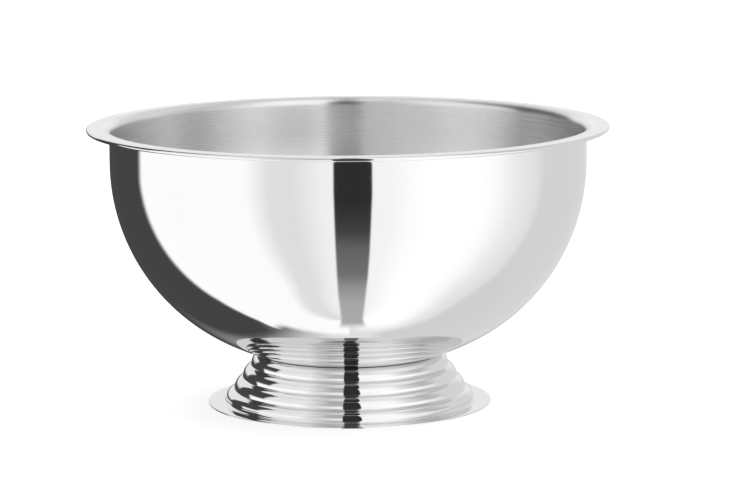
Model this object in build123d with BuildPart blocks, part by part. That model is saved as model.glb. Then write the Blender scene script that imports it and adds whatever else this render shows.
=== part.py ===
"""Footed punch bowl in polished stainless steel.

One spun bowl stands on one ribbed foot.  A stud welded under the middle of the
bowl passes through the foot, and a nut pulls the foot's seat up against the bowl.

Millimetres.  +Z is up, the axis of every turned piece is the Z axis, and the
origin is the centre of the ring that the foot stands on.
"""
from build123d import *
from math import cos, radians, sin, sqrt, tan
import os

# ---------------------------------------------------------------- whole bowl
overall_height = 215.0          # table to the top of the lip
wall_diameter = 365.2           # outside of the bowl at its widest
lip_width = 17.4                # wall to the outermost edge of the rim

# ---------------------------------------------------------------- bowl sheet
bowl_sheet = 1.0
bowl_bottom_height = 27.2       # table to the outside of the bowl's lowest point
straight_wall_height = 22.0     # plain cylinder between the curve and the lip's root
crown_half_angle = 26.2         # degrees of the flatter arc at the bottom, from the axis
lip_root_radius = 5.0           # inside of the bend under the lip
bead_diameter = 3.2             # rolled edge
bead_turn = 270.0               # degrees that the edge is rolled through

# ---------------------------------------------------------------- foot
foot_sheet = 1.0
skirt_base_diameter = 191.0     # skirt where it meets the flange
flange_width = 13.5             # skirt to the outer edge of the flat flange
flange_cove_radius = 4.0
rib_count = 4
rib_edge_angle = 36.0           # degrees between the skirt's slope and a rib's side at its groove
rib_crest_radius = 8.2
rib_groove_radius = 1.0
shoulder_radius = 2.0           # rounded top edge beside the bowl
largest_bend_share = 0.95       # of a straight run that the bends at its two ends may take

# ---------------------------------------------------------------- seat and pan of the foot
seat_diameter = 136.0           # circle on which the bowl rests
seat_overhang = 1.5             # seat cone outside that circle
seat_inset = 7.0                # seat cone inside that circle
pan_gap = 2.0                   # bowl's lowest point to the pan's floor
pan_wall_angle = 45.0           # degrees from upright
pan_radius_of_bends = 3.0

# ---------------------------------------------------------------- M6 fastening
thread_diameter = 5.35          # pitch diameter, at which stud and nut meet
thread_clearance = 0.02         # on the radius
stud_length = 15.0
stud_flange_diameter = 7.5
stud_flange_thickness = 0.8
stud_tip_chamfer = 0.6
pan_hole_diameter = 9.0
washer_hole_diameter = 6.4
washer_diameter = 18.0
washer_thickness = 1.6
spring_washer_hole_diameter = 6.1
spring_washer_diameter = 11.8
spring_washer_thickness = 1.6
spring_washer_slit = 0.8
spring_washer_slit_angle = 20.0
nut_across_flats = 10.0
nut_height = 5.0
nut_corner_chamfer_angle = 30.0
nut_mouth_chamfer = 0.4

# ---------------------------------------------------------------- bowl, worked out
wall_radius = wall_diameter / 2
rim_radius = wall_radius + lip_width
lip_underside = overall_height - bowl_sheet
root_centre_z = lip_underside - lip_root_radius
widest_z = root_centre_z - straight_wall_height
curve_depth = widest_z - bowl_bottom_height

# Two arcs, tangent to the wall, to each other and to the horizontal at the axis.
crown_angle = radians(crown_half_angle)
arc_centre_shift = (wall_radius - curve_depth) / (sin(crown_angle) + cos(crown_angle) - 1)
shoulder_arc_radius = wall_radius - arc_centre_shift * sin(crown_angle)
crown_radius = shoulder_arc_radius + arc_centre_shift
crown_centre_z = bowl_bottom_height + crown_radius

bead_radius = bead_diameter / 2
bead_inner_radius = bead_radius - bowl_sheet
bead_centre = (rim_radius - bead_radius, overall_height - bead_radius)


def bowl_underside(radius):
    """Height and slope of the bowl's outside, on whichever of its two arcs the radius lies."""
    centre_radius, centre_z, arc_radius = 0, crown_centre_z, crown_radius
    if radius > crown_radius * sin(crown_angle):
        centre_radius = wall_radius - shoulder_arc_radius
        centre_z, arc_radius = widest_z, shoulder_arc_radius
    across = radius - centre_radius
    drop = sqrt(arc_radius ** 2 - across ** 2)
    return centre_z - drop, across / drop


# ---------------------------------------------------------------- foot, worked out
seat_radius = seat_diameter / 2
seat_z, seat_slope = bowl_underside(seat_radius)


def seat_cone(radius):
    """Point of the seat cone, which is tangent to the bowl on the seat circle."""
    return (radius, seat_z + seat_slope * (radius - seat_radius))


skirt_base_radius = skirt_base_diameter / 2
flange_radius = skirt_base_radius + flange_width
skirt_top = seat_cone(seat_radius + seat_overhang)
rib_height = (skirt_top[1] - foot_sheet) / rib_count
rib_spread = (skirt_base_radius - skirt_top[0]) / rib_count
rib_rise = tan(radians(rib_edge_angle)) / 2   # of the crest's corner, as a share of the rib's pitch
pan_floor_z = bowl_bottom_height - pan_gap
seat_inner = seat_cone(seat_radius - seat_inset)
pan_drop = seat_inner[1] - pan_floor_z
pan_corner = (seat_inner[0] - pan_drop * tan(radians(pan_wall_angle)), pan_floor_z)

# ---------------------------------------------------------------- fastening, worked out
washer_top = pan_floor_z - foot_sheet
spring_washer_top = washer_top - washer_thickness
nut_top = spring_washer_top - spring_washer_thickness
thread_radius = thread_diameter / 2


def foot_outline():
    """Corners of the foot's upper face and the radius of each bend between them."""
    corners = [(flange_radius, foot_sheet), (skirt_base_radius, foot_sheet)]
    bends = [flange_cove_radius]
    for rib in range(rib_count):
        lower_radius = skirt_base_radius - rib * rib_spread
        lower_z = foot_sheet + rib * rib_height
        middle = (lower_radius - rib_spread / 2, lower_z + rib_height / 2)
        corners.append((middle[0] + rib_rise * rib_height, middle[1] + rib_rise * rib_spread))
        corners.append((lower_radius - rib_spread, lower_z + rib_height))
        bends += [rib_crest_radius, rib_groove_radius]
    bends[-1] = shoulder_radius
    corners += [seat_inner, pan_corner, (pan_hole_diameter / 2, pan_floor_z)]
    bends += [pan_radius_of_bends, pan_radius_of_bends]
    return corners, limited_bends(corners, bends)


def limited_bends(corners, bends):
    """Bend radii, smaller where two bends together need more than the run between them."""
    runs = [Vector(b) - Vector(a) for a, b in zip(corners, corners[1:])]
    turns = [radians(before.get_angle(after)) for before, after in zip(runs, runs[1:])]
    needed = [0] + [bend * tan(turn / 2) for bend, turn in zip(bends, turns)] + [0]
    shares = [
        min(1, largest_bend_share * run.length / (start + end))
        for run, start, end in zip(runs, needed, needed[1:])
    ]
    return [bend * min(before, after) for bend, before, after in zip(bends, shares, shares[1:])]


def lower_face(corners, bends, sheet):
    """Corners and bends of the sheet's other face, on the left of the path along the first."""
    runs = [(Vector(b) - Vector(a)).normalized() for a, b in zip(corners, corners[1:])]
    normals = [Vector(-run.Y, run.X) for run in runs]
    moved = [Vector(corners[0]) + normals[0] * sheet]
    other_bends = []
    for corner, bend, before, after in zip(corners[1:-1], bends, normals, normals[1:]):
        moved.append(Vector(corner) + (before + after) * (sheet / (1 + before.dot(after))))
        other_bends.append(bend - sheet if before.cross(after).Z > 0 else bend + sheet)
    moved.append(Vector(corners[-1]) + normals[-1] * sheet)
    return moved, other_bends


def draw_bowl_surface(inset):
    """Draw one face of the bowl's sheet, inset from the outside, and return its two ends."""
    crown = CenterArc((0, crown_centre_z), crown_radius - inset, -90, crown_half_angle)
    CenterArc(
        (wall_radius - shoulder_arc_radius, widest_z),
        shoulder_arc_radius - inset,
        crown_half_angle - 90,
        90 - crown_half_angle,
    )
    Line((wall_radius - inset, widest_z), (wall_radius - inset, root_centre_z))
    root_centre = (wall_radius + lip_root_radius, root_centre_z)
    root = CenterArc(root_centre, lip_root_radius + inset, 180, -90)
    Line(root @ 1, (bead_centre[0], lip_underside + inset))
    bead = CenterArc(bead_centre, bead_inner_radius + inset, 90, -bead_turn)
    return crown @ 0, bead @ 1


os.makedirs("parts", exist_ok=True)

# ---------------------------------------------------------------- bowl
with BuildPart() as bowl:
    with BuildSketch(Plane.XZ):
        with BuildLine():
            outside_ends = draw_bowl_surface(0)
            inside_ends = draw_bowl_surface(bowl_sheet)
            Line(outside_ends[0], inside_ends[0])
            Line(outside_ends[1], inside_ends[1])
        make_face()
    revolve(axis=Axis.Z)
bowl.part.label = "bowl"
export_step(bowl.part, "parts/bowl.step")

# ---------------------------------------------------------------- foot
with BuildPart() as foot:
    with BuildSketch(Plane.XZ):
        with BuildLine():
            upper_corners, upper_bends = foot_outline()
            lower_corners, lower_bends = lower_face(upper_corners, upper_bends, foot_sheet)
            upper = FilletPolyline(*upper_corners, radius=upper_bends)
            lower = FilletPolyline(*lower_corners, radius=lower_bends)
            Line(upper @ 0, lower @ 0)
            Line(upper @ 1, lower @ 1)
        make_face()
    revolve(axis=Axis.Z)
foot.part.label = "foot"
export_step(foot.part, "parts/foot.step")

# ---------------------------------------------------------------- weld stud
with BuildPart() as weld_stud:
    with BuildSketch(Plane.XZ):
        with BuildLine():
            stud_flange_radius = stud_flange_diameter / 2
            edge_z = bowl_underside(stud_flange_radius)[0]
            shank_start = bowl_bottom_height - stud_flange_thickness
            tip_z = bowl_bottom_height - stud_length
            face = RadiusArc((0, bowl_bottom_height), (stud_flange_radius, edge_z), -crown_radius)
            Polyline(
                face @ 1,
                (stud_flange_radius, shank_start),
                (thread_radius, shank_start),
                (thread_radius, tip_z + stud_tip_chamfer),
                (thread_radius - stud_tip_chamfer, tip_z),
                (0, tip_z),
                face @ 0,
            )
        make_face()
    revolve(axis=Axis.Z)
weld_stud.part.label = "weld_stud"
export_step(weld_stud.part, "parts/weld_stud.step")

# ---------------------------------------------------------------- clamp washer
with BuildPart() as clamp_washer:
    with BuildSketch(Plane.XY.offset(washer_top)):
        Circle(washer_diameter / 2)
        Circle(washer_hole_diameter / 2, mode=Mode.SUBTRACT)
    extrude(amount=-washer_thickness)
clamp_washer.part.label = "clamp_washer"
export_step(clamp_washer.part, "parts/clamp_washer.step")

# ---------------------------------------------------------------- spring washer
with BuildPart() as spring_washer:
    with BuildSketch(Plane.XY.offset(spring_washer_top)):
        Circle(spring_washer_diameter / 2)
        Circle(spring_washer_hole_diameter / 2, mode=Mode.SUBTRACT)
    extrude(amount=-spring_washer_thickness)
    slit_middle = spring_washer_top - spring_washer_thickness / 2
    with Locations(Location((spring_washer_diameter / 2, 0, slit_middle), (spring_washer_slit_angle, 0, 0))):
        Box(spring_washer_diameter, spring_washer_slit, spring_washer_diameter, mode=Mode.SUBTRACT)
spring_washer.part.label = "spring_washer"
export_step(spring_washer.part, "parts/spring_washer.step")

# ---------------------------------------------------------------- clamp nut
with BuildPart() as clamp_nut:
    with BuildSketch(Plane.XY.offset(nut_top)):
        RegularPolygon(nut_across_flats / 2, 6, major_radius=False)
    extrude(amount=-nut_height)
    with BuildSketch(Plane.XZ) as corner_cone:
        with BuildLine():
            corner_radius = nut_across_flats / 2 / cos(radians(30))
            flat_radius = nut_across_flats / 2
            cone_drop = (corner_radius - flat_radius) * tan(radians(nut_corner_chamfer_angle))
            Polyline(
                (0, nut_top),
                (flat_radius, nut_top),
                (corner_radius, nut_top - cone_drop),
                (corner_radius, nut_top - nut_height + cone_drop),
                (flat_radius, nut_top - nut_height),
                (0, nut_top - nut_height),
                (0, nut_top),
            )
        make_face()
    revolve(axis=Axis.Z, mode=Mode.INTERSECT)
    with Locations((0, 0, nut_top - nut_height / 2)):
        Hole(thread_radius + thread_clearance)
    chamfer(clamp_nut.edges().filter_by(GeomType.CIRCLE).sort_by(SortBy.RADIUS)[:2], nut_mouth_chamfer)
clamp_nut.part.label = "clamp_nut"
export_step(clamp_nut.part, "parts/clamp_nut.step")
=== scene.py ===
"""Footed punch bowl in polished stainless steel: mirror outside, satin brushed inside, on a ribbed foot.

Every turned piece is a surface of revolution about the Z axis: an outline in (radius, height) is worked out
from lines and arcs, and the grid of (outline point, angle) is filled in one step with numpy.
"""
from math import cos, pi, radians, sin, sqrt, tan

import bpy
import numpy as np
from mathutils import Matrix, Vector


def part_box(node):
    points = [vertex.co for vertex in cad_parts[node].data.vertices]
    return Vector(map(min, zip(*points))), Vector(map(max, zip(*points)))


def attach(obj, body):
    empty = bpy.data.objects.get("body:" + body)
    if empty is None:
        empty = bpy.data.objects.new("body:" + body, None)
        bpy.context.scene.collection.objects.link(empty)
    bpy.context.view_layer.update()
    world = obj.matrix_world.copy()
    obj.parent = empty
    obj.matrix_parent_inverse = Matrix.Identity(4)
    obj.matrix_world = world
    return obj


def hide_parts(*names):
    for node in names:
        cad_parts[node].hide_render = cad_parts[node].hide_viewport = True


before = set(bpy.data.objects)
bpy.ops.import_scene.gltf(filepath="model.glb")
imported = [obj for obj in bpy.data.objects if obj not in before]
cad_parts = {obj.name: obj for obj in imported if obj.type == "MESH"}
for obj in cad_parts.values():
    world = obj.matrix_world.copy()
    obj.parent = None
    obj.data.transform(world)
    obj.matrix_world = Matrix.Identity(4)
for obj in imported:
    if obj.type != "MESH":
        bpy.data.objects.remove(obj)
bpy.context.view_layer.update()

mm = 0.001

# ---------------------------------------------------------------- sizes read from the frame
bowl_low, bowl_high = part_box("bowl")
foot_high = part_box("foot")[1]
stud_low, stud_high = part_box("weld_stud")
washer_low, washer_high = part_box("clamp_washer")
split_low, split_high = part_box("spring_washer")
nut_low, nut_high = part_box("clamp_nut")

rim_radius = bowl_high.x
lip_top = bowl_high.z
bowl_bottom = bowl_low.z
flange_radius = foot_high.x

# ---------------------------------------------------------------- bowl
bowl_sheet = 1.0 * mm
lip_width = 17.4 * mm               # wall to the outermost edge of the rim
lip_root_radius = 5.0 * mm
straight_wall = 22.0 * mm
crown_half_angle = radians(26.2)    # of the flatter arc at the bottom, from the axis
bead_radius = 1.6 * mm
bead_turn = radians(270)

wall_radius = rim_radius - lip_width
root_centre = (wall_radius + lip_root_radius, lip_top - bowl_sheet - lip_root_radius)
widest_height = root_centre[1] - straight_wall
curve_depth = widest_height - bowl_bottom
arc_shift = (wall_radius - curve_depth) / (sin(crown_half_angle) + cos(crown_half_angle) - 1)
shoulder_arc_radius = wall_radius - arc_shift * sin(crown_half_angle)
crown_arc_radius = shoulder_arc_radius + arc_shift
shoulder_centre = (wall_radius - shoulder_arc_radius, widest_height)
crown_centre = (0.0, bowl_bottom + crown_arc_radius)
bead_centre = (rim_radius - bead_radius, lip_top - bead_radius)

# ---------------------------------------------------------------- foot
foot_sheet = 1.0 * mm
flange_width = 13.5 * mm
flange_cove_radius = 4.0 * mm
rib_count = 4
rib_edge_angle = radians(36)        # between the skirt's slope and a rib's side at its groove
rib_crest_radius = 8.2 * mm
rib_groove_radius = 1.0 * mm
foot_shoulder_radius = 2.0 * mm
seat_radius = 68.0 * mm             # circle on which the bowl rests
seat_overhang = 1.5 * mm
seat_inset = 7.0 * mm
pan_gap = 2.0 * mm                  # bowl's lowest point to the pan's floor
pan_hole_radius = 4.5 * mm
pan_bend_radius = 3.0 * mm
largest_bend_share = 0.95           # of a straight run that the bends at its two ends may take
cut_edge_radius = 0.3 * mm          # deburred edge of the sheet

# ---------------------------------------------------------------- fastening
thread_pitch = 1.0 * mm
thread_major_radius = 2.95 * mm
thread_depth = 0.58 * mm
thread_flank_slope = 3.2            # of the groove's sides, in depths per pitch
thread_flank_start = 0.3            # in depths; leaves a flat at the root and another at the crest
thread_play = 0.03 * mm             # between the stud's thread and the nut's
nut_flat_radius = 5.0 * mm
nut_mouth_chamfer = 0.4 * mm
stud_flange_thickness = 0.8 * mm
stud_tip_chamfer = 0.9 * mm
washer_inner_radius = 3.2 * mm
split_inner_radius = 3.05 * mm
nut_chamfer_slope = tan(radians(30))
split_slit = 0.8 * mm
split_slope = tan(radians(20))      # of the slit, from upright
washer_edge_radius = 0.25 * mm

# ---------------------------------------------------------------- grids
crown_steps, shoulder_steps = 30, 72
wall_steps, root_steps, lip_steps = 10, 14, 8
bead_steps, bead_core_steps = 40, 20
bend_step = radians(5)              # largest, round the foot's bends
run_steps = 3
bowl_columns = 256
foot_columns = 240
ring_columns = 96
thread_columns = 72
thread_rows_per_turn = 14
corner_steps = 4                    # of each rounded edge
sharpest_smooth_edge = radians(32)


# ================================================================ outlines
def line(start, end, steps):
    """Points from start to end, evenly spaced, without the end itself."""
    share = np.linspace(0, 1, steps, endpoint=False)[:, None]
    return np.array(start) * (1 - share) + np.array(end) * share


def arc(centre, radius, start, turn, steps):
    """Points centre + radius * (cos a, sin a), with a from start through turn, without the last one."""
    angle = start + turn * np.linspace(0, 1, steps, endpoint=False)
    return np.column_stack((centre[0] + radius * np.cos(angle), centre[1] + radius * np.sin(angle)))


def bowl_face(inset):
    """One face of the bowl's sheet from the axis to the rolled edge, inset from the outside.

    Crown arc, shoulder arc, straight wall, root bend, flat lip, rolled bead: each is tangent to the next.
    """
    inside = inset > 0
    wall = wall_radius - inset
    lip = lip_top - bowl_sheet + inset
    bead = bead_radius - bowl_sheet + inset
    root = lip_root_radius + inset
    return np.vstack((
        arc(crown_centre, crown_arc_radius - inset, -pi / 2, crown_half_angle, crown_steps),
        arc(shoulder_centre, shoulder_arc_radius - inset, crown_half_angle - pi / 2,
            pi / 2 - crown_half_angle, shoulder_steps),
        line((wall, widest_height), (wall, root_centre[1]), wall_steps),
        arc(root_centre, root, pi, -pi / 2, root_steps),
        line((root_centre[0], lip), (bead_centre[0], lip), lip_steps),
        arc(bead_centre, bead, pi / 2, -bead_turn, bead_steps if inside else bead_core_steps),
        arc(bead_centre, bead, pi / 2 - bead_turn, 0, 1),
    ))


def bowl_underside(radius):
    """Height and slope of the crown arc or the shoulder arc at that radius."""
    centre, arc_radius = crown_centre, crown_arc_radius
    if radius > crown_arc_radius * sin(crown_half_angle):
        centre, arc_radius = shoulder_centre, shoulder_arc_radius
    across = radius - centre[0]
    drop = sqrt(arc_radius ** 2 - across ** 2)
    return centre[1] - drop, across / drop


def foot_corners():
    """Corners of the foot's upper face, from the flange's edge to the hole in the pan, and their bends."""
    seat_height, seat_slope = bowl_underside(seat_radius)
    skirt_base = flange_radius - flange_width
    skirt_top = (seat_radius + seat_overhang, seat_height + seat_slope * seat_overhang)
    rib_height = (skirt_top[1] - foot_sheet) / rib_count
    rib_spread = (skirt_base - skirt_top[0]) / rib_count
    crest_rise = tan(rib_edge_angle) / 2
    corners = [(flange_radius, foot_sheet), (skirt_base, foot_sheet)]
    bends = [flange_cove_radius]
    for rib in range(rib_count):
        lower = (skirt_base - rib * rib_spread, foot_sheet + rib * rib_height)
        middle = (lower[0] - rib_spread / 2, lower[1] + rib_height / 2)
        corners.append((middle[0] + crest_rise * rib_height, middle[1] + crest_rise * rib_spread))
        corners.append((lower[0] - rib_spread, lower[1] + rib_height))
        bends += [rib_crest_radius, rib_groove_radius]
    bends[-1] = foot_shoulder_radius
    seat_inner = (seat_radius - seat_inset, seat_height - seat_slope * seat_inset)
    pan_floor = bowl_bottom - pan_gap
    pan_corner = (seat_inner[0] - (seat_inner[1] - pan_floor), pan_floor)
    corners += [seat_inner, pan_corner, (pan_hole_radius, pan_floor)]
    bends += [pan_bend_radius, pan_bend_radius]
    return np.array(corners), np.array(bends)


def run_directions(corners):
    """Unit direction of each straight run and the turn, in radians, from each run to the next."""
    runs = np.diff(corners, axis=0)
    runs /= np.linalg.norm(runs, axis=1)[:, None]
    cross = runs[:-1, 0] * runs[1:, 1] - runs[:-1, 1] * runs[1:, 0]
    return runs, np.arctan2(cross, (runs[:-1] * runs[1:]).sum(1))


def limited_bends(corners, bends):
    """Bend radii, smaller where two bends together need more than the run between them."""
    length = np.linalg.norm(np.diff(corners, axis=0), axis=1)
    turns = np.abs(run_directions(corners)[1])
    needed = np.concatenate(([0], bends * np.tan(turns / 2), [0]))
    share = np.minimum(1, largest_bend_share * length / (needed[:-1] + needed[1:]))
    return bends * np.minimum(share[:-1], share[1:])


def lower_face(corners, bends, sheet):
    """The same outline moved to its left by the sheet: left bends get tighter and right bends wider."""
    runs, turns = run_directions(corners)
    normals = np.column_stack((-runs[:, 1], runs[:, 0]))
    meet = (normals[:-1] + normals[1:]) / (1 + (normals[:-1] * normals[1:]).sum(1))[:, None]
    offset = np.vstack((normals[:1], meet, normals[-1:]))
    return corners + sheet * offset, bends - np.sign(turns) * sheet


def rounded_outline(corners, bends):
    """Straight runs between the corners, each corner rounded by an arc tangent to both of its runs."""
    runs, turns = run_directions(corners)
    setback = (bends * np.tan(np.abs(turns) / 2))[:, None]
    arrive = corners[1:-1] - runs[:-1] * setback
    leave = corners[1:-1] + runs[1:] * setback
    pieces = []
    start = corners[0]
    for index, turn in enumerate(turns):
        pieces.append(line(start, arrive[index], run_steps))
        side = np.sign(turn)
        normal = side * np.array((-runs[index, 1], runs[index, 0]))
        centre = arrive[index] + normal * bends[index]
        first = np.arctan2(-normal[1], -normal[0])
        pieces.append(arc(centre, bends[index], first, turn, max(2, int(abs(turn) / bend_step) + 1)))
        start = leave[index]
    pieces.append(line(start, corners[-1], run_steps))
    return np.vstack(pieces + [corners[-1:]])


def deburred_edge(first, last, outward, radius):
    """Cut edge from a sheet's first face to its last, both corners rounded; outward leaves the sheet."""
    along = (last - first) / np.linalg.norm(last - first)
    angle = np.linspace(0, pi / 2, corner_steps)[:, None]
    first_centre = first + radius * (along - outward)
    last_centre = last - radius * (along + outward)
    return np.vstack((first_centre + radius * (outward * np.sin(angle) - along * np.cos(angle)),
                      last_centre + radius * (outward * np.cos(angle) + along * np.sin(angle))))


def sheet_loop(upper, lower, edge_radius):
    """Closed outline round a sheet: upper face one way, lower face back, both cut edges deburred."""
    outer_way = (upper[0] - upper[1]) / np.linalg.norm(upper[0] - upper[1])
    inner_way = (upper[-1] - upper[-2]) / np.linalg.norm(upper[-1] - upper[-2])
    outer_edge = deburred_edge(upper[0], lower[0], outer_way, edge_radius)
    inner_edge = deburred_edge(lower[-1], upper[-1], inner_way, edge_radius)
    return np.vstack((upper[-2:0:-1], outer_edge, lower[1:-1], inner_edge))


def ring_section(inner, outer, low, high, edge):
    """Rectangle with rounded corners, once round with the solid on its left."""
    return np.vstack((
        arc((outer - edge, low + edge), edge, -pi / 2, pi / 2, corner_steps), [(outer, low + edge)],
        arc((outer - edge, high - edge), edge, 0, pi / 2, corner_steps), [(outer - edge, high)],
        arc((inner + edge, high - edge), edge, pi / 2, pi / 2, corner_steps), [(inner, high - edge)],
        arc((inner + edge, low + edge), edge, pi, pi / 2, corner_steps), [(inner + edge, low)],
    ))


# ================================================================ meshes
def grid_faces(rows, columns, closed):
    """Quads between neighbouring rows and columns; the columns go all the way round, the rows if closed."""
    row = np.arange(rows if closed else rows - 1)[:, None]
    column = np.arange(columns)[None, :]
    next_row = (row + 1) % rows
    next_column = (column + 1) % columns
    quads = (row * columns + column, row * columns + next_column,
             next_row * columns + next_column, next_row * columns + column)
    return np.stack(np.broadcast_arrays(*quads), axis=-1).reshape(-1, 4)


def new_mesh(name, points, quads, triangles=None, smooth=True):
    """Mesh object at the origin from arrays of points, quads and, at the poles, triangles."""
    triangles = np.empty((0, 3), int) if triangles is None else triangles
    corners = np.concatenate((quads.ravel(), triangles.ravel()))
    starts = np.concatenate((np.arange(len(quads)) * 4, quads.size + np.arange(len(triangles)) * 3))
    mesh = bpy.data.meshes.new(name)
    mesh.vertices.add(len(points))
    mesh.vertices.foreach_set("co", points.astype(np.float32).ravel())
    mesh.loops.add(len(corners))
    mesh.loops.foreach_set("vertex_index", corners.astype(np.int32))
    mesh.polygons.add(len(starts))
    mesh.polygons.foreach_set("loop_start", starts.astype(np.int32))
    mesh.polygons.foreach_set("use_smooth", np.full(len(starts), smooth))
    mesh.update(calc_edges=True)
    mesh.validate()
    piece = bpy.data.objects.new(name, mesh)
    bpy.context.scene.collection.objects.link(piece)
    return piece


def round_the_axis(columns):
    """Evenly spaced angles, once round."""
    return np.linspace(0, 2 * pi, columns, endpoint=False)


def place(radius, angle, height):
    """Points (radius cos a, radius sin a, height) as a (row, column, xyz) grid."""
    radius, angle, height = np.broadcast_arrays(radius, angle, height)
    return np.stack((radius * np.cos(angle), radius * np.sin(angle), height), axis=-1)


def revolve(outline, columns):
    """Outline of (radius, height) carried round the axis: one row per point, one column per angle."""
    return place(outline[:, :1], round_the_axis(columns), outline[:, 1:])


def closed_skin(name, grid):
    """Skin of a (row, column, xyz) grid that closes both ways, its solid side on the rows' left."""
    rows, columns = grid.shape[:2]
    return new_mesh(name, grid.reshape(-1, 3), grid_faces(rows, columns, True)[:, ::-1])


def closed_ring(name, outline, columns):
    """Surface of revolution of a closed outline that runs with its solid side on the left."""
    return closed_skin(name, revolve(outline, columns))


def capped(name, grid, first_height, last_height):
    """Skin of a (row, column, xyz) grid, its first and last rows closed by fans to a vertex on the axis."""
    rows, columns = grid.shape[:2]
    poles = np.array(((0, 0, first_height), (0, 0, last_height)))
    first_pole, last_pole = rows * columns, rows * columns + 1
    column = np.arange(columns)
    following = (column + 1) % columns
    last_row = (rows - 1) * columns
    fans = np.vstack((
        np.column_stack((following, column, np.full(columns, first_pole))),
        np.column_stack((last_row + column, last_row + following, np.full(columns, last_pole))),
    ))
    return new_mesh(name, np.vstack((grid.reshape(-1, 3), poles)), grid_faces(rows, columns, False), fans)


def capped_turning(name, outline, columns):
    """Surface of revolution of an outline whose first and last points lie on the axis."""
    return capped(name, revolve(outline[1:-1], columns), outline[0, 1], outline[-1, 1])


def paint_rows(piece, columns, rows):
    """Second material on the given rows of faces; a fan at a pole counts as one row."""
    row = np.arange(len(piece.data.polygons)) // columns
    piece.data.polygons.foreach_set("material_index", np.isin(row, rows).astype(np.int32))


# ================================================================ node helpers
def new_material(name):
    """Material with a metal Principled shader; returns the material, its tree and the shader."""
    material = bpy.data.materials.new(name)
    material.use_nodes = True
    tree = material.node_tree
    shader = tree.nodes["Principled BSDF"]
    shader.inputs["Metallic"].default_value = 1.0
    return material, tree, shader


def calculate(tree, operation, *values, clamp=False):
    """Math node on sockets or numbers; returns its result socket."""
    node = tree.nodes.new("ShaderNodeMath")
    node.operation = operation
    node.use_clamp = clamp
    for socket, value in zip(node.inputs, values):
        if hasattr(value, "node"):
            tree.links.new(value, socket)
        else:
            socket.default_value = value
    return node.outputs[0]


def ramp(tree, factor, stops):
    """Colour ramp through grey stops of (position, brightness); returns its colour socket."""
    node = tree.nodes.new("ShaderNodeValToRGB")
    elements = node.color_ramp.elements
    while len(elements) < len(stops):
        elements.new(1.0)
    for element, (position, grey) in zip(elements, stops):
        element.position = position
        element.color = (grey, grey, grey, 1)
    tree.links.new(factor, node.inputs[0])
    return node.outputs[0]


def blend(tree, factor, first, second):
    """first where factor is 0 and second where it is 1, for sockets or numbers."""
    difference = calculate(tree, "SUBTRACT", second, first)
    return calculate(tree, "MULTIPLY_ADD", difference, factor, first)


def turned_grain(tree, across, along, detail, seed):
    """Noise drawn out round the axis, read at (radius, height) times across plus (x, y) times along."""
    parts = tree.nodes.new("ShaderNodeSeparateXYZ")
    source = tree.nodes.new("ShaderNodeTexCoord")
    tree.links.new(source.outputs["Object"], parts.inputs[0])
    x, y, z = parts.outputs
    radius = calculate(tree, "SQRT", calculate(tree, "ADD", calculate(tree, "MULTIPLY", x, x),
                                               calculate(tree, "MULTIPLY", y, y)))
    joined = tree.nodes.new("ShaderNodeCombineXYZ")
    sideways = calculate(tree, "MULTIPLY_ADD", x, along, seed)
    tree.links.new(calculate(tree, "MULTIPLY_ADD", radius, across, sideways), joined.inputs[0])
    tree.links.new(calculate(tree, "MULTIPLY_ADD", z, across, calculate(tree, "MULTIPLY", y, along)),
                   joined.inputs[1])
    noise = tree.nodes.new("ShaderNodeTexNoise")
    noise.inputs["Scale"].default_value = 1.0
    noise.inputs["Detail"].default_value = detail
    tree.links.new(joined.outputs[0], noise.inputs["Vector"])
    return noise.outputs["Fac"]


def cloudy(tree, scale, detail):
    """Soft noise in Object coordinates."""
    source = tree.nodes.new("ShaderNodeTexCoord")
    noise = tree.nodes.new("ShaderNodeTexNoise")
    noise.inputs["Scale"].default_value = scale
    noise.inputs["Detail"].default_value = detail
    tree.links.new(source.outputs["Object"], noise.inputs["Vector"])
    return noise.outputs["Fac"]


def bump(tree, height, strength, distance):
    """Bump node; returns its normal socket."""
    node = tree.nodes.new("ShaderNodeBump")
    node.inputs["Strength"].default_value = strength
    node.inputs["Distance"].default_value = distance
    tree.links.new(height, node.inputs["Height"])
    return node.outputs[0]


def grey_between(tree, factor, dark, light):
    """Base colour that goes from one grey to another with the factor."""
    return ramp(tree, factor, [(0.25, dark), (0.75, light)])


# ================================================================ finishes
def mirror_polish():
    """Polished outside: almost a mirror, with the faint rings that polishing on the lathe leaves."""
    material, tree, shader = new_material("mirror_polish")
    rings = turned_grain(tree, across=900, along=3, detail=2, seed=0.0)
    haze = cloudy(tree, scale=14, detail=3)
    tree.links.new(grey_between(tree, haze, 0.775, 0.795), shader.inputs["Base Color"])
    roughness = calculate(tree, "MULTIPLY_ADD", calculate(tree, "MULTIPLY", rings, haze), 0.05, 0.025)
    tree.links.new(roughness, shader.inputs["Roughness"])
    tree.links.new(bump(tree, rings, strength=0.03, distance=0.02 * mm), shader.inputs["Normal"])
    return material


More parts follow.
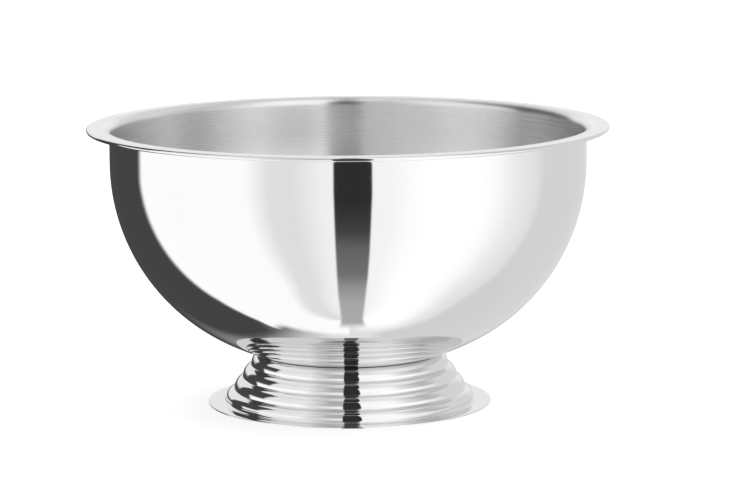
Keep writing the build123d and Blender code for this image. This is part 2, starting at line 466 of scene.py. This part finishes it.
def satin_brushing(name, roughness, anisotropy, light, dark):
    """Circular brushing: fine grooves round the axis, which draw highlights out across themselves."""
    material, tree, shader = new_material(name)
    fine = turned_grain(tree, across=5200, along=9, detail=2, seed=3.0)
    broad = turned_grain(tree, across=420, along=2, detail=3, seed=11.0)
    grooves = calculate(tree, "MULTIPLY_ADD", fine, 0.55, calculate(tree, "MULTIPLY", broad, 0.45))
    tree.links.new(grey_between(tree, grooves, dark, light), shader.inputs["Base Color"])
    worn = calculate(tree, "MULTIPLY_ADD", grooves, 0.10, roughness - 0.05)
    tree.links.new(worn, shader.inputs["Roughness"])
    tree.links.new(bump(tree, fine, strength=0.07, distance=0.03 * mm), shader.inputs["Normal"])
    tangent = tree.nodes.new("ShaderNodeTangent")
    tangent.direction_type = "RADIAL"
    tangent.axis = "Z"
    tree.links.new(tangent.outputs[0], shader.inputs["Tangent"])
    shader.inputs["Anisotropic"].default_value = anisotropy
    shader.inputs["Anisotropic Rotation"].default_value = 0.25
    return material


def machined_steel():
    """Bright machined steel of the stud, washers and nut."""
    material, tree, shader = new_material("machined_steel")
    marks = turned_grain(tree, across=2600, along=60, detail=3, seed=5.0)
    stains = cloudy(tree, scale=260, detail=4)
    tree.links.new(grey_between(tree, stains, 0.46, 0.58), shader.inputs["Base Color"])
    tree.links.new(calculate(tree, "MULTIPLY_ADD", marks, 0.18, 0.2), shader.inputs["Roughness"])
    tree.links.new(bump(tree, marks, strength=0.15, distance=0.04 * mm), shader.inputs["Normal"])
    return material


mirror = mirror_polish()
satin = satin_brushing("satin_brushing", roughness=0.28, anisotropy=1.0, light=0.88, dark=0.83)
spun = satin_brushing("spun_underside", roughness=0.28, anisotropy=0.7, light=0.72, dark=0.60)
fastener = machined_steel()


def finish_piece(piece, nodes, slot, *materials):
    """Materials and ride of a finished piece; hides the parts of the record that it replaces."""
    for material in materials:
        piece.data.materials.append(material)
    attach(piece, "root")
    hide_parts(*nodes)


# ================================================================ bowl and foot
def make_bowl():
    """Outside face out to the rolled edge, inside face back to the axis, satin up to the flat lip."""
    outside, inside = bowl_face(0.0), bowl_face(bowl_sheet)
    piece = capped_turning("spun_bowl", np.vstack((outside, inside[::-1])), bowl_columns)
    finish_piece(piece, ["bowl"], "bowl_steel", mirror, satin)
    satin_points = int(np.argmax(inside[:, 0] >= root_centre[0]))
    quad_rows = len(outside) + len(inside) - 3
    inside_pole = quad_rows + 1
    paint_rows(piece, bowl_columns, np.append(np.arange(quad_rows - satin_points, quad_rows), inside_pole))


def make_foot():
    """Upper face mirror polished, lower face as it comes off the spinning lathe."""
    corners, bends = foot_corners()
    bends = limited_bends(corners, bends)
    upper = rounded_outline(corners, bends)
    lower = rounded_outline(*lower_face(corners, bends, foot_sheet))
    outline = sheet_loop(upper, lower, cut_edge_radius)
    piece = closed_ring("spun_foot", outline, foot_columns)
    finish_piece(piece, ["foot"], "foot_steel", mirror, spun)
    last_edge_facet = len(upper) + 2 * corner_steps - 4
    paint_rows(piece, foot_columns, np.arange(last_edge_facet, len(outline)))


make_bowl()
make_foot()


# ================================================================ fastening
def thread_radius(height, angle):
    """Major radius less a groove that climbs one pitch per turn, right-handed, flat at root and crest."""
    climb = (height / thread_pitch - angle / (2 * pi)) % 1.0
    flank = np.clip(thread_flank_slope * np.abs(climb - 0.5) - thread_flank_start, 0, 1)
    return thread_major_radius - thread_depth * (1 - flank)


def thread_heights(start, end):
    """Column of heights close enough together for the thread."""
    rows = int(abs(end - start) / thread_pitch * thread_rows_per_turn)
    return np.linspace(start, end, rows)[:, None]


def make_stud():
    """Face that meets the bowl, weld flange, and a shank of r = thread_radius(z, a), its tip chamfered."""
    flange, tip = stud_high.x, stud_low.z
    shank_start = bowl_bottom - stud_flange_thickness
    face_radius = flange * np.linspace(0.2, 1, 5)
    face_height = np.interp(face_radius, (0, flange), (bowl_bottom, bowl_underside(flange)[0]))
    flange_edge = [(flange, shank_start + washer_edge_radius), (flange - washer_edge_radius, shank_start)]
    head = np.vstack((np.column_stack((face_radius, face_height)), flange_edge))
    angle = round_the_axis(thread_columns)
    height = thread_heights(shank_start, tip)
    chamfer = thread_major_radius - np.clip(stud_tip_chamfer - (height - tip), 0, None)
    shank = place(np.minimum(thread_radius(height, angle), chamfer), angle, height)
    grid = np.concatenate((revolve(head, thread_columns), shank))[::-1]
    return capped("threaded_stud", grid, tip, stud_high.z)


def make_nut():
    """Hexagon r = flat / cos(a) cut by two cones, round a hole whose thread runs clear of the stud's."""
    low, high = nut_low.z, nut_high.z
    angle = round_the_axis(thread_columns)
    first_corner = 0.0 if nut_high.x > nut_high.y else pi / 6
    hexagon = nut_flat_radius / np.cos((angle - first_corner) % (pi / 3) - pi / 6)
    cone_drop = (hexagon.max() - nut_flat_radius) * nut_chamfer_slope
    near_face = np.linspace(0, cone_drop, 6)
    side_height = np.concatenate((low + near_face, high - near_face[::-1]))[:, None]
    to_face = np.minimum(side_height - low, high - side_height)
    side_radius = np.minimum(hexagon, nut_flat_radius + to_face / nut_chamfer_slope)
    hole_height = thread_heights(high, low)
    to_mouth = np.minimum(high - hole_height, hole_height - low)
    mouth = thread_major_radius + nut_mouth_chamfer - to_mouth
    hole_radius = np.maximum(thread_radius(hole_height, angle) + thread_play, mouth)
    return closed_skin("hexagon_nut", np.concatenate((place(side_radius, angle, side_height),
                                                      place(hole_radius, angle, hole_height))))


def make_spring_washer():
    """Ring section carried round the axis between the two sides of a slanted slit, both ends capped."""
    low, high = split_low.z, split_high.z
    section = ring_section(split_inner_radius, split_high.x, low, high, washer_edge_radius)
    radius, height = section[:, :1], section[:, 1:]
    lean = (height - (low + high) / 2) * split_slope
    half_slit = split_slit / 2 * sqrt(1 + split_slope ** 2)
    start = np.arcsin((half_slit - lean) / radius)
    end = 2 * pi + np.arcsin((-half_slit - lean) / radius)
    points = place(radius, start + (end - start) * np.linspace(0, 1, ring_columns), height)
    rows, last = len(section), ring_columns - 1
    quads = grid_faces(rows, ring_columns, True).reshape(rows, ring_columns, 4)[:, :-1, ::-1].reshape(-1, 4)
    first = np.arange(rows) * ring_columns
    following = np.roll(first, -1)
    middle = np.full(rows, rows * ring_columns)
    ends = np.vstack((
        np.column_stack((following, first, middle)),
        np.column_stack((first + last, following + last, middle + 1)),
    ))
    end_middles = points[:, (0, -1)].mean(axis=0)
    return new_mesh("split_spring_washer", np.vstack((points.reshape(-1, 3), end_middles)), quads, ends)


def make_clamp_washer():
    """Flat ring with rounded edges."""
    section = ring_section(washer_inner_radius, washer_high.x, washer_low.z, washer_high.z,
                           washer_edge_radius)
    return closed_ring("wide_flat_washer", section, ring_columns)


for piece, node in ((make_stud(), "weld_stud"), (make_clamp_washer(), "clamp_washer"),
                    (make_spring_washer(), "spring_washer"), (make_nut(), "clamp_nut")):
    piece.data.set_sharp_from_angle(angle=sharpest_smooth_edge)
    finish_piece(piece, [node], "fastener_steel", fastener)


# ================================================================ studio
# Brightness of what stands round the bowl, by azimuth in degrees: 0 is the camera's side and + is to
# the camera's right.
CARD = 0.084            # dark card on the left
LOWER_PANELS = [(-180, 0.42), (-177, 0.15), (-173, CARD), (-120, CARD), (-116.5, 1.52), (-50, 1.52),
                (-38, 1.16), (-27, 1.14), (-12, 1.36), (0, 1.38), (20, 1.42), (30, 1.52), (45, 1.60),
                (62, 1.60), (75, 1.50), (88, 1.28), (98, 1.18), (103, 1.14), (108, 1.0), (168, 0.96),
                (180, 0.42)]
UPPER_PANELS = [(-180, 1.10), (-146, 1.20), (-141, CARD), (-97, CARD), (-92, 1.20), (-48, 1.25),
                (-38, 1.05), (-27, 0.80), (-20, 0.68), (-4, 0.70), (8, 0.90), (10, 1.50), (40, 1.50),
                (50, 1.40), (62, 1.10), (75, 0.88), (88, 0.70), (100, 0.80), (112, 1.0), (179, 0.96)]
OVERHEAD = [(-180, 1.20), (-146, 1.10), (-141, CARD), (-120, CARD), (-114, 0.95), (-60, 1.05),
            (-30, 1.40), (90, 1.42), (108, 0.72), (160, 0.68), (175, 1.20)]
BACK_PANEL = 1.14
# How much of each shows, by elevation in degrees.
UPPER_SHARE = [(-2, 0), (8, 1)]
OVERHEAD_SHARE = [(56, 0), (64, 1)]
BACK_SHARE = [(0, 0), (5, 1), (60, 1)]
BENEATH_SHARE = [(-90, 1), (-45, 1), (-22, 0)]
# Low down the side panels seem to open out, so azimuths are drawn together there.
DRAWN_TOGETHER = [(-90, 0.40), (-76, 0.62), (-72, 0.71), (-70, 0.77), (-65, 0.86), (-61, 0.945),
                  (-56, 0.98), (-50, 1)]
LIGHT_FROM_BELOW = [(-73, 1.13), (-71, 0.77), (-68, 0.58), (-66, 0.33), (-63, 0.20), (-60, CARD)]
# Beneath the bowl and behind, brightness goes by x instead of azimuth.
BENEATH = [(-0.30, 0.18), (-0.24, 0.50), (-0.185, 0.80), (-0.13, 0.95), (-0.077, 1.13), (0, 1.16),
           (0.08, 1.16), (0.14, 0.96), (0.30, 0.97)]
# The dark gap between the panels, where the camera stands, runs up and over the bowl: its two edges by
# x, how far back it goes by y, and its brightness, all by elevation.
GAP_LEFT = [(-90, 0.045), (-80, 0.060), (-68, 0.077), (-57, 0.089), (-42, 0.104), (-27, 0.116),
            (-8, 0.128), (20, 0.125), (40, 0.107), (75, 0.036)]
GAP_RIGHT = [(-90, 0.070), (-80, 0.091), (-68, 0.113), (-57, 0.135), (-42, 0.160), (-27, 0.179),
             (-8, 0.199), (20, 0.180), (40, 0.140), (75, 0.048)]
GAP_REACH = [(-90, 0.09), (-72, 0.09), (-60, 0), (56, 0), (64, 1)]
GAP_TONE = [(-90, 0.62), (-77, 0.60), (-66, 0.46), (-56, 0.25), (-41, 0.20), (-30, 0.085), (-20, 0.055),
            (-12, 0.04), (42, 0.04), (54, 0.34), (90, 0.75)]
GAP_EDGE = 0.014        # width of its soft edges
# Thin seam between the side panels and the one overhead, by elevation, and its strength by the
# distance from x = 0.
SEAM = [(34.5, 0), (36.5, 1), (38.5, 1), (40.5, 0)]
SEAM_FADE = [(0, 0.75), (0.2, 0.45), (0.4, 0.10), (1, 0.05)]
SEAM_TONE = 0.05
# Slope and offset of soft steps along x or y.
PAST_CARD = (20.0, 6.6)
PAST_MIDDLE = (14.0, -2.7)
FAR_BEHIND = (10.0, -8.5)
IN_FRONT = (-8.0, 0.5)
GAP_END = (10.0, 0.5)
BRIGHTEST = 2.0         # top of the brightness tables
DIMMED = 0.81           # for the whole studio, chosen together with the mirror's grey


def table(tree, share, stops, span, top=1.0):
    """Value from a table of (place, value): share 0 to 1 runs over places -span to span, values to top."""
    found = ramp(tree, share, [(where / (2 * span) + 0.5, value / top) for where, value in stops])
    return calculate(tree, "MULTIPLY", found, top)


def soft_step(tree, value, slope, offset):
    """slope * value + offset, held between 0 and 1."""
    return calculate(tree, "MULTIPLY_ADD", value, slope, offset, clamp=True)


def product(tree, first, second):
    """Product of two shares."""
    return calculate(tree, "MULTIPLY", first, second)


def studio():
    """White studio by direction: panels at the sides and overhead, a gap for the camera, a dark card."""
    world = bpy.data.worlds.new("studio")
    bpy.context.scene.world = world
    world.use_nodes = True
    tree = world.node_tree
    source = tree.nodes.new("ShaderNodeTexCoord")
    parts = tree.nodes.new("ShaderNodeSeparateXYZ")
    tree.links.new(source.outputs["Generated"], parts.inputs[0])
    x, y, z = parts.outputs
    azimuth = calculate(tree, "ARCTAN2", x, calculate(tree, "MULTIPLY", y, -1.0))
    azimuth = calculate(tree, "DIVIDE", azimuth, 2 * pi)
    height = calculate(tree, "MULTIPLY_ADD", calculate(tree, "ARCSINE", z), 1 / pi, 0.5)

    def by_height(stops, top=1.0):
        return table(tree, height, stops, 90, top)

    drawn = calculate(tree, "MULTIPLY_ADD", azimuth, by_height(DRAWN_TOGETHER), 0.5)
    lower, upper, overhead = (table(tree, drawn, stops, 180, BRIGHTEST)
                              for stops in (LOWER_PANELS, UPPER_PANELS, OVERHEAD))
    level = blend(tree, by_height(UPPER_SHARE), lower, upper)
    level = blend(tree, by_height(OVERHEAD_SHARE), level, overhead)
    level = calculate(tree, "MAXIMUM", level, by_height(LIGHT_FROM_BELOW, BRIGHTEST))

    across = calculate(tree, "MULTIPLY_ADD", x, 0.5, 0.5)
    behind = product(tree, soft_step(tree, y, *PAST_MIDDLE), soft_step(tree, x, *PAST_CARD))
    beneath_share = product(tree, behind, by_height(BENEATH_SHARE))
    level = blend(tree, beneath_share, level, table(tree, across, BENEATH, 1, BRIGHTEST))
    back_share = product(tree, soft_step(tree, y, *FAR_BEHIND), by_height(BACK_SHARE))
    level = blend(tree, back_share, level, BACK_PANEL)

    seam = product(tree, by_height(SEAM), ramp(tree, calculate(tree, "ABSOLUTE", x), SEAM_FADE))
    level = blend(tree, product(tree, seam, soft_step(tree, y, *IN_FRONT)), level, SEAM_TONE)

    from_left = calculate(tree, "ADD", x, by_height(GAP_LEFT))
    from_right = calculate(tree, "SUBTRACT", by_height(GAP_RIGHT), x)
    nearest = calculate(tree, "MINIMUM", from_left, from_right)
    between = calculate(tree, "DIVIDE", nearest, GAP_EDGE, clamp=True)
    to_reach = calculate(tree, "SUBTRACT", by_height(GAP_REACH), y)
    reached = soft_step(tree, to_reach, *GAP_END)
    level = blend(tree, product(tree, between, reached), level, by_height(GAP_TONE))

    rays = tree.nodes.new("ShaderNodeLightPath")
    level = blend(tree, rays.outputs["Is Camera Ray"], calculate(tree, "MULTIPLY", level, DIMMED), 1.0)
    tree.links.new(level, tree.nodes["Background"].inputs["Color"])
    world.cycles.sampling_method = "NONE"


def make_floor():
    """Plain white light table, seen through from below, that the steel doesn't mirror."""
    half = 9.0
    corners = np.array(((-half, -half, 0), (half, -half, 0), (half, half, 0), (-half, half, 0)))
    floor = new_mesh("floor", corners, np.array([[0, 1, 2, 3]]), smooth=False)
    material = bpy.data.materials.new("white_floor")
    material.use_nodes = True
    tree = material.node_tree
    shader = tree.nodes["Principled BSDF"]
    shader.inputs["Base Color"].default_value = (0.42, 0.42, 0.42, 1)
    shader.inputs["Emission Color"].default_value = (1, 1, 1, 1)
    shader.inputs["Emission Strength"].default_value = 0.70
    shader.inputs["Roughness"].default_value = 0.9
    shader.inputs["Specular IOR Level"].default_value = 0.0
    clear = tree.nodes.new("ShaderNodeBsdfTransparent")
    side = tree.nodes.new("ShaderNodeNewGeometry")
    mixed = tree.nodes.new("ShaderNodeMixShader")
    tree.links.new(side.outputs["Backfacing"], mixed.inputs[0])
    tree.links.new(shader.outputs[0], mixed.inputs[1])
    tree.links.new(clear.outputs[0], mixed.inputs[2])
    tree.links.new(mixed.outputs[0], tree.nodes["Material Output"].inputs["Surface"])
    floor.data.materials.append(material)
    floor.visible_glossy = False


def make_key_light():
    """Very soft light from overhead for the floor alone: the steel mirrors the studio, not this light."""
    light = bpy.data.lights.new("soft_overhead", "SUN")
    light.energy = 3.0
    light.angle = radians(70)
    lamp = bpy.data.objects.new("soft_overhead", light)
    lamp.rotation_euler = (radians(-12), radians(8), 0)
    lamp.visible_glossy = False
    bpy.context.scene.collection.objects.link(lamp)


def make_camera():
    """Long lens a little above the rim, looking slightly down."""
    distance, height = 2.6029, 0.5273
    pitch, yaw, roll = 0.15443, 0.00508, 0.00659
    camera = bpy.data.cameras.new("camera")
    camera.sensor_width = 36.0
    camera.lens = 168.29
    camera.clip_start, camera.clip_end = 0.1, 60.0
    holder = bpy.data.objects.new("camera", camera)
    facing = (Matrix.Rotation(-yaw, 4, "Z") @ Matrix.Rotation(pi / 2 - pitch, 4, "X")
              @ Matrix.Rotation(-roll, 4, "Z"))
    holder.matrix_world = Matrix.Translation((0, -distance, height)) @ facing
    bpy.context.scene.collection.objects.link(holder)
    bpy.context.scene.camera = holder


studio()
make_floor()
make_key_light()
make_camera()
bpy.context.scene.view_settings.view_transform = "Standard"
